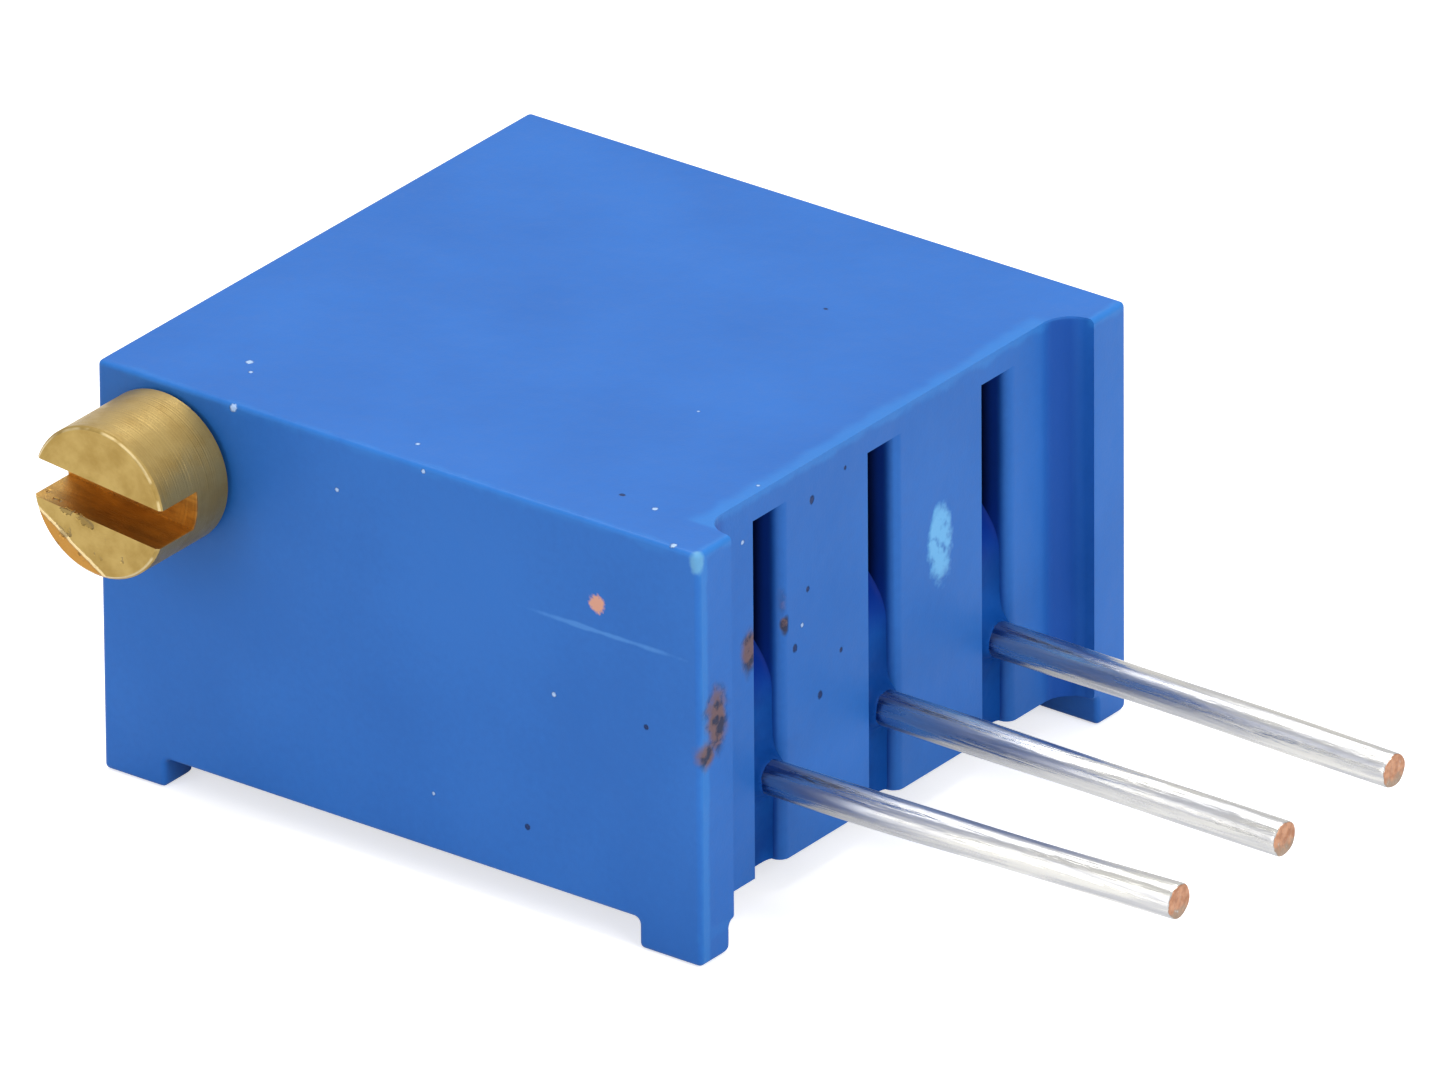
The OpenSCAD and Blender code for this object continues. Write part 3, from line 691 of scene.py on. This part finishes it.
# %% Resin finish
def resin_finish():
    """A darker blue than the housing's, with a wavy skin, in shade towards the top of the slots."""
    s = Shader("resin_blue", roughness=0.42, IOR=1.5, Specular_IOR_Level=0.04)
    tone = s.noise(s.place, 1.2, 3.0)
    colour = s.mix(s.step(tone, 0.35, 0.65), linear(8, 62, 136), linear(14, 76, 156))
    # Painted shade: the resin darkens towards the top of the slots.
    shaded = s.step(s.along((0, 0, 1)), fill_h - 1.0, fill_h - 0.25)
    shaded = shaded * s.step(s.along((1, 0, 0)), pocket_x1 - 0.92, pocket_x1 - 0.42)
    colour = s.mix(shaded * 0.85, colour, SLOT_SHADE_BLUE)
    s.set(Base_Color=colour, Roughness=s.step(tone, 0.3, 0.7, 0.36, 0.5))
    s.bump(s.noise(s.place, 3.0, 2.0), 0.02)
    return s.material


finish_piece(resin, "case", "resin_blue", resin_finish(), "sealing_resin")

# %% [markdown]
# ## Adjusting screw
# The screw is turned from brass bar, so its skin is a radius that depends on the distance along
# the axis. In the worm's stretch the radius depends on the angle as well: it rises over the thread
# and falls to the core, and the pattern turns once for each lead. The Screw modifier could wind the
# thread, but it would have to be joined to the shank, and this way the screw is one closed skin.
# The driver slot is cut after that, and last the flat that a saw chipped off the head.

# %% Turned shape of the screw
WHEEL_R, TEETH = 3.10, 32
LEAD, TURNS = 2 * np.pi * WHEEL_R / TEETH, 7
WORM_R, ADDENDUM, DEDENDUM, BACKLASH, PRESSURE = 0.62, 0.13, 0.16, 0.055, 20
WORM_ROOT, WORM_FADE, SHOULDER_R = WORM_R - DEDENDUM, 0.12, 0.49
HEAD_R, HEAD_GAP, HEAD_CHAMFER = 1.095, 0.05, 0.045
GROOVE_AT, GROOVE_R, GROOVE_L = 0.38, 0.46, 0.46
NECK_AT, NECK_R, NECK_L = 1.16, 0.50, 0.28
CHIP_OFF, CHIP_TURN, CHIP_SLOPE = 0.83, 236.5, 0.32


def thread_radius(shift):
    """The worm's radius at an axial shift from the middle of its tooth: the flank's slope, held
    between the core and the tip."""
    flank = (LEAD / 2 - BACKLASH) / 2
    slope = math.tan(math.radians(PRESSURE))
    return np.clip(WORM_R + (flank - np.abs(shift)) / slope, WORM_ROOT, WORM_R + ADDENDUM)


def screw_profile():
    """Distance along Y and radius of the turned parts, from the middle of the end face over the
    seal's groove and the clip's neck to the worm."""
    face = -side_y - HEAD_GAP
    groove, neck = -side_y + GROOVE_AT, -side_y + NECK_AT
    shank_end = -side_y + bearing_l - 0.1
    return [
        (head_y, 0.01), (head_y, HEAD_R - HEAD_CHAMFER), (head_y + HEAD_CHAMFER, HEAD_R),
        (face - HEAD_CHAMFER, HEAD_R), (face, HEAD_R - HEAD_CHAMFER), (face, shank_r),
        (groove, shank_r), (groove, GROOVE_R),
        (groove + GROOVE_L, GROOVE_R), (groove + GROOVE_L, shank_r),
        (neck, shank_r), (neck, NECK_R), (neck + NECK_L, NECK_R), (neck + NECK_L, shank_r),
        (shank_end, shank_r), (shank_end, SHOULDER_R), (-TURNS * LEAD / 2, SHOULDER_R),
    ]


def adjusting_screw():
    """One closed skin: turned front, worm, and end journal, as rings of 128 points. On the worm,
    shift is the part of a lead between a point and the middle of the nearest tooth: y over the
    lead, less the part of a turn. The thread sinks to the core at both ends."""
    front = np.array(screw_profile())
    length = TURNS * LEAD
    worm_y = np.linspace(-length / 2, length / 2, 40 * TURNS + 1)
    journal, end = chamber_y - 0.2, chamber_y + journal_l
    rear = np.array([
        (length / 2, SHOULDER_R), (journal, SHOULDER_R),
        (journal, journal_r), (end, journal_r), (end, 0.01),
    ])
    angle = full_turn(128)
    y = np.concatenate([front[:, 0], worm_y, rear[:, 0]])[:, None]
    plain = np.concatenate([front[:, 1], np.full(len(worm_y), -1.0), rear[:, 1]])[:, None]
    shift = (y / LEAD - (angle - np.pi / 2) / (2 * np.pi) + 0.5) % 1 - 0.5
    fade = np.clip((length / 2 - np.abs(y)) / WORM_FADE, 0, 1)
    worm = WORM_ROOT + (thread_radius(shift * LEAD) - WORM_ROOT) * fade
    radius = np.where(plain > 0, plain, worm)
    return closed_skin("brass_screw", rings_round_y(y, radius, angle, screw_x, screw_z))


# %% Cuts in the screw's head
def driver_slot():
    """The cutter of the driver slot, turned by its tilt about the screw's axis."""
    tilt = math.radians(driver_tilt)
    long, wide = HEAD_R + REACH, driver_w / 2
    along, across = np.array([(-long, -wide), (long, -wide), (long, wide), (-long, wide)]).T
    x = screw_x + along * math.cos(tilt) + across * math.sin(tilt)
    z = screw_z - along * math.sin(tilt) + across * math.cos(tilt)
    rings = np.stack([np.stack([x, np.full(4, y), z], 1) for y in (head_y + driver_d, head_y - REACH)])
    return closed_skin("driver_slot", rings)


def chipped_edge():
    """The cutter of the flat that the saw left on the lower edge of the head: a wedge beyond a
    chord of the end face."""
    turn = math.radians(CHIP_TURN)
    outward = np.array([math.cos(turn), 0, math.sin(turn)])
    along = np.array([-math.sin(turn), 0, math.cos(turn)])
    far = HEAD_R + REACH
    wedge = np.array([
        (CHIP_OFF, head_y), (far, head_y + (far - CHIP_OFF) * CHIP_SLOPE),
        (far, head_y - REACH), (CHIP_OFF, head_y - REACH),
    ])
    end = np.array([screw_x, 0, screw_z]) + wedge[:, :1] * outward + wedge[:, 1:] * (0, 1, 0)
    return closed_skin("chipped_edge", np.stack([end - far * along, end + far * along]))


screw = adjusting_screw()
combine(screw, driver_slot())
combine(screw, chipped_edge())
smooth(screw, 35)
print("lead of the worm, in mm:", round(LEAD, 4))

# %% [markdown]
# ## Brass
# The lathe leaves fine rings, the saw leaves streaks in a deeper colour in the driver slot and on
# the chipped flat, and the flat's edge has a bright burr. A pale broken line along the rim is a painted
# highlight, the glint of the rim's chamfer. Round the head the brass has a dull skin. The tool marks
# sit where a tool worked. All of these are masks over the distance from the axis, the depth and the
# slot's direction, which turn with the screw.


# %% Brass finish
def brass_finish():
    """Turned brass: fine lines round the axis, stains, a dull skin round the head, and a deeper
    colour in the slot."""
    s = Shader("screw_brass", roughness=0.36, metallic=1.0)
    offset = s.vector("SUBTRACT", s.place, (screw_x, 0, screw_z))
    flat = s.vector("MULTIPLY", offset, (1, 0, 1))
    radius = s.vector("LENGTH", flat)
    depth = s.along((0, 1, 0))
    lines = s.node("ShaderNodeCombineXYZ", None, [radius * 30, depth * 34, 0.0])
    turning = s.noise(lines, 1.0, 3.0, 0.7)
    stain = s.noise(s.place, 2.2, 4.0, 0.6)
    colour = s.mix(s.step(stain, 0.35, 0.7), linear(178, 151, 90), linear(160, 132, 72))
    tilt = math.radians(driver_tilt)
    across = abs(s.vector("DOT_PRODUCT", offset, (math.sin(tilt), 0, math.cos(tilt))))
    floor_y = head_y + driver_d
    in_slot = s.step(across, driver_w / 2 + 0.004, driver_w / 2 - 0.004)
    in_slot = in_slot * s.step(depth, floor_y + 0.03, floor_y + 0.015)
    drag = s.noise(s.stretch(1.6, 7, 7), 1.0, 3.0, 0.6)
    sawn = s.mix(s.step(drag, 0.40, 0.62), linear(202, 140, 56), linear(160, 100, 34))
    colour = s.mix(in_slot * 0.75, colour, sawn)
    turn = math.radians(CHIP_TURN)
    out = s.vector("DOT_PRODUCT", offset, (math.cos(turn), 0, math.sin(turn)))
    end = s.step(depth, head_y + 0.3, head_y + 0.15)
    chip = s.step(out, CHIP_OFF - 0.01, CHIP_OFF + 0.02) * end
    colour = s.mix(chip * 0.75, colour, linear(184, 128, 56))
    burr = s.step(abs(out - CHIP_OFF + (stain - 0.5) * 0.1), 0.035, 0.015) * end
    colour = s.mix(burr * 0.8, colour, linear(236, 214, 164))
    # Painted highlight: a pale broken line along the rim of the end face stands in for the glint of its
    # chamfer.
    rim = s.step(radius, HEAD_R - 0.055, HEAD_R - 0.035) * s.step(depth, head_y + 0.03, head_y + 0.02)
    rim = rim * s.step(s.noise(s.place, 2.4, 2.0), 0.44, 0.54)
    colour = s.mix(rim * 0.55, colour, linear(240, 220, 170))
    lower = s.step(out, 0.30, 0.36) * end
    pits = lower * s.step(s.noise(s.place, 5.0, 2.0), 0.60, 0.68)
    colour = s.mix(pits * 0.6, colour, linear(120, 98, 58))
    tarnish = s.step(radius, HEAD_R - 0.03, HEAD_R - 0.01) * 0.3
    roughness = s.step(stain * 0.5 + turning * 0.5, 0.35, 0.65, 0.30, 0.46)
    s.set(Base_Color=colour, Roughness=roughness, Metallic=1 - tarnish)
    s.bump(turning * 0.5 + stain * 0.5 + burr * 1.5 - pits * 2.0, 0.012)
    return s.material


finish_piece(screw, "screw", "screw_brass", brass_finish(), "adjusting_screw")

# %% [markdown]
# ## Pins
# Each pin is copper wire dipped in tin and cropped to length. The tin lies in long streaks, the
# crop leaves bare copper with a slightly ragged rim, and handling has bent each wire by a tenth of
# a millimetre. A curve with a round bevel could draw the wire. Here a circle is carried along each
# bent line instead, because its radius can then wander a little, as the tin does.

# %% Pin shape
BENDS = {1: (0.13, 0.07), 2: (-0.05, 0.03), 3: (-0.11, 0.03)}
CROP = np.array([(0.03, 0.995), (0.014, 0.975), (0.004, 0.94), (0.0, 0.90), (0.0, 0.5), (0.0, 0.05)])
CROP_L = 0.05
RIPPLE = 0.008


def pin_line(number, row, x):
    """The wire's centre line: straight in the body, then off by its bend times a power of the way
    out, so that it leaves the body without a kink."""
    out = np.clip((x - face_x) / (tip_x - face_x), 0, 1) ** 1.6
    dy, dz = BENDS[number]
    return row + dy * out, dz * out


def wire_pin(number, row):
    """Rings along the line. The radius is the wire's, drawn in by RIPPLE, plus two sines of the
    place along and round the wire. CROP shapes the end: each row is a distance from the tip and
    the share of the radius that is left there."""
    straight = np.linspace(face_x - 0.12, tip_x - CROP_L, 120)
    x = np.concatenate([straight, tip_x - CROP[:, 0]])[:, None]
    crop = np.concatenate([np.ones(len(straight)), CROP[:, 1]])[:, None]
    angle = full_turn(64)
    ripple = 0.006 * np.sin(2 * angle + 1.3 * x + number)
    ripple = ripple + 0.004 * np.sin(5 * angle - 0.6 * x + 2 * number)
    radius = (pin_r - RIPPLE + ripple) * crop
    y, z = pin_line(number, row, x)
    rings = np.broadcast_arrays(x, y - radius * np.sin(angle), z + radius * np.cos(angle))
    return closed_skin(f"wire_{number}", np.stack(rings, -1))


def coined_end(number, row):
    """The flat to which the wire is pressed inside the body: a block round its line."""
    wide, thick = 0.25, 0.20
    return block(f"coined_{number}", (coin_x, row - wide, -thick), (face_x - 0.10, row + wide, thick))


# %% Tin finish
def tin_finish():
    """Bright tin: noise stretched along the wire gives the streaks, a blue film fades out from the
    body, and past the last hundredth of a millimetre the colour is that of cropped copper."""
    s = Shader("tinned_wire", roughness=0.25, metallic=1.0)
    streak = s.noise(s.stretch(0.35, 7, 7), 1.0, 4.0, 0.6, 0.4)
    fine = s.noise(s.stretch(2.5, 22, 22), 1.0, 2.0)
    colour = s.mix(s.step(streak, 0.4, 0.62), linear(220, 218, 212), linear(190, 190, 192))
    rim = s.noise(s.place, 14.0, 2.0)
    depth = s.along((1, 0, 0))
    cropped = s.step(depth + (rim - 0.5) * 0.03, tip_x - 0.012, tip_x - 0.004)
    tone = s.step(s.noise(s.place, 9.0, 3.0), 0.35, 0.65)
    copper = s.mix(tone, linear(198, 150, 120), linear(172, 124, 96))
    low = s.step(s.along((0, 0, 1)) + (rim - 0.5) * 0.3, 0.02, -0.12)
    copper = s.mix(low * 0.7, copper, linear(150, 140, 126))
    film = s.step(depth + streak * 2.2, 1.35, 0.25)
    colour = s.mix(film * 0.7, colour, linear(70, 104, 158))
    s.set(
        Base_Color=s.mix(cropped, colour, copper),
        Roughness=s.step(streak, 0.35, 0.65, 0.2, 0.36) + cropped * 0.2,
    )
    s.bump(streak + fine * 0.25 + cropped * rim, 0.02)
    return s.material


TIN = tin_finish()
for number, row in enumerate(pin_rows, 1):
    pin = wire_pin(number, row)
    combine(pin, coined_end(number, row), operation="UNION")
    smooth(pin, 50)
    finish_piece(pin, "case", "tinned_wire", TIN, f"pin_{number}")

# %% [markdown]
# ## The pieces inside
# The ceramic, its printed films, the rotor, the wiper, the seal and the clip are sealed in. Their
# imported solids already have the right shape, so each only gets a finish.


# %% Finishes of the inner pieces
def plain_finish(name, dark, light, scale, roughness, metallic=0.0, bump=0.01):
    """A finish that varies between two colours over noise of a scale, in patterns per millimetre."""
    s = Shader(name, roughness=roughness, metallic=metallic)
    tone = s.noise(s.place, scale, 3.0)
    s.set(
        Base_Color=s.mix(s.step(tone, 0.3, 0.7), dark, light),
        Roughness=s.step(tone, 0.3, 0.7, roughness * 0.85, roughness * 1.15),
    )
    s.bump(tone, bump)
    return s.material


CONDUCTOR = plain_finish("conductor_film", linear(178, 168, 150), linear(206, 198, 180), 8, 0.4, 0.9)
SOLDER = plain_finish("solder", linear(170, 172, 176), linear(206, 208, 212), 4, 0.3, 1.0)
INNER_FINISHES = {
    "screw_o_ring": plain_finish("seal_rubber", linear(24, 24, 25), linear(38, 38, 40), 12, 0.55),
    "screw_retainer": plain_finish(
        "spring_steel", linear(150, 152, 156), linear(190, 192, 196), 6, 0.35, 1.0
    ),
    "rotor": plain_finish("rotor_plastic", linear(214, 210, 196), linear(228, 224, 212), 5, 0.5),
    "wiper_contact": plain_finish(
        "wiper_alloy", linear(190, 160, 96), linear(214, 186, 120), 6, 0.3, 1.0
    ),
    "substrate": plain_finish("alumina", linear(226, 224, 214), linear(238, 236, 228), 14, 0.65),
    "resistive_track": plain_finish("track_film", linear(30, 30, 32), linear(46, 45, 46), 16, 0.45),
    "collector_track": CONDUCTOR,
    "end_termination_1": CONDUCTOR,
    "end_termination_3": CONDUCTOR,
    "solder_joint_1": SOLDER,
    "solder_joint_2": SOLDER,
    "solder_joint_3": SOLDER,
}
for name, material in INNER_FINISHES.items():
    for place in frame["nodes"][name].material_slots:
        place.material = material
print("inner pieces with a finish:", len(INNER_FINISHES))

# %% [markdown]
# ## Floor and light
# The photograph has no shadow to speak of and a white ground. A pale floor keeps a soft shadow, and
# Light Path turns what the camera and the metal see of it to white without lighting the part more.

# %% Floor
FLOOR_HALF, FLOOR_GAP = 1200, 0.01


def ray_level(nodes, to_camera, to_glossy, to_others):
    """One level for camera rays, one for reflections and one for all other rays: a Mix node picks
    each by what Light Path says of the ray."""
    level = to_others
    for ray, seen in (("Is Glossy Ray", to_glossy), ("Is Camera Ray", to_camera)):
        is_ray = nodes.node("ShaderNodeLightPath", output=ray)
        level = nodes.node("ShaderNodeMix", None, {"Factor": is_ray, "A": level, "B": seen})
    return level


def floor_finish():
    """A pale matt floor with a glow added that the camera and the reflections see, and no other
    ray, so that it is nearly white and still shows a shadow."""
    material = bpy.data.materials.new("pale_floor")
    material.use_nodes = True
    nodes = NodeTree(material.node_tree)
    seen = ray_level(nodes, 1.0, 0.36, 0.0)
    glow = nodes.node("ShaderNodeEmission", None, {"Color": (0.62, 0.62, 0.62, 1), "Strength": seen})
    matt = nodes.node("ShaderNodeBsdfDiffuse", None, {"Color": (0.8, 0.8, 0.8, 1)})
    both = nodes.node("ShaderNodeAddShader", None, [matt, glow])
    nodes.feed(nodes.tree.nodes["Material Output"].inputs["Surface"], both)
    nodes.tree.nodes.remove(nodes.tree.nodes["Principled BSDF"])
    return material


square = np.array([(-1, -1), (1, -1), (1, 1), (-1, 1)]) * FLOOR_HALF
level = np.full((4, 1), floor_z - FLOOR_GAP)
floor = add_piece("floor", np.hstack([square, level]), [[0, 1, 2, 3]])
floor.data.materials.append(floor_finish())
print("the floor lies, in mm, at", round(floor_z - FLOOR_GAP, 3))


# %% Lamps and sky
def lamp(name, place, size, power):
    """A square soft lamp at a place, in millimetres, that faces the middle of the part."""
    light = bpy.data.lights.new(name, "AREA")
    light.size, light.energy = size * MM, power
    made = bpy.data.objects.new(name, light)
    made.location = Vector(place) * MM
    aim = Vector((back_x / 2, 0, 1.2)) * MM - made.location
    made.rotation_euler = aim.to_track_quat("-Z", "Y").to_euler()
    bpy.context.scene.collection.objects.link(made)


lamp("top_light", (-60, 40, 260), 180, 0.56)
lamp("right_light", (220, -40, 120), 160, 0.34)
lamp("front_light", (-60, -240, 90), 160, 0.19)

world = bpy.data.worlds.new("world")
bpy.context.scene.world = world
world.use_nodes = True
air = NodeTree(world.node_tree)
sky = air.tree.nodes["Background"]
air.feed(sky.inputs["Strength"], ray_level(air, 1.0, 0.8, 0.42))
air.feed(sky.inputs["Color"], (1, 1, 1, 1))
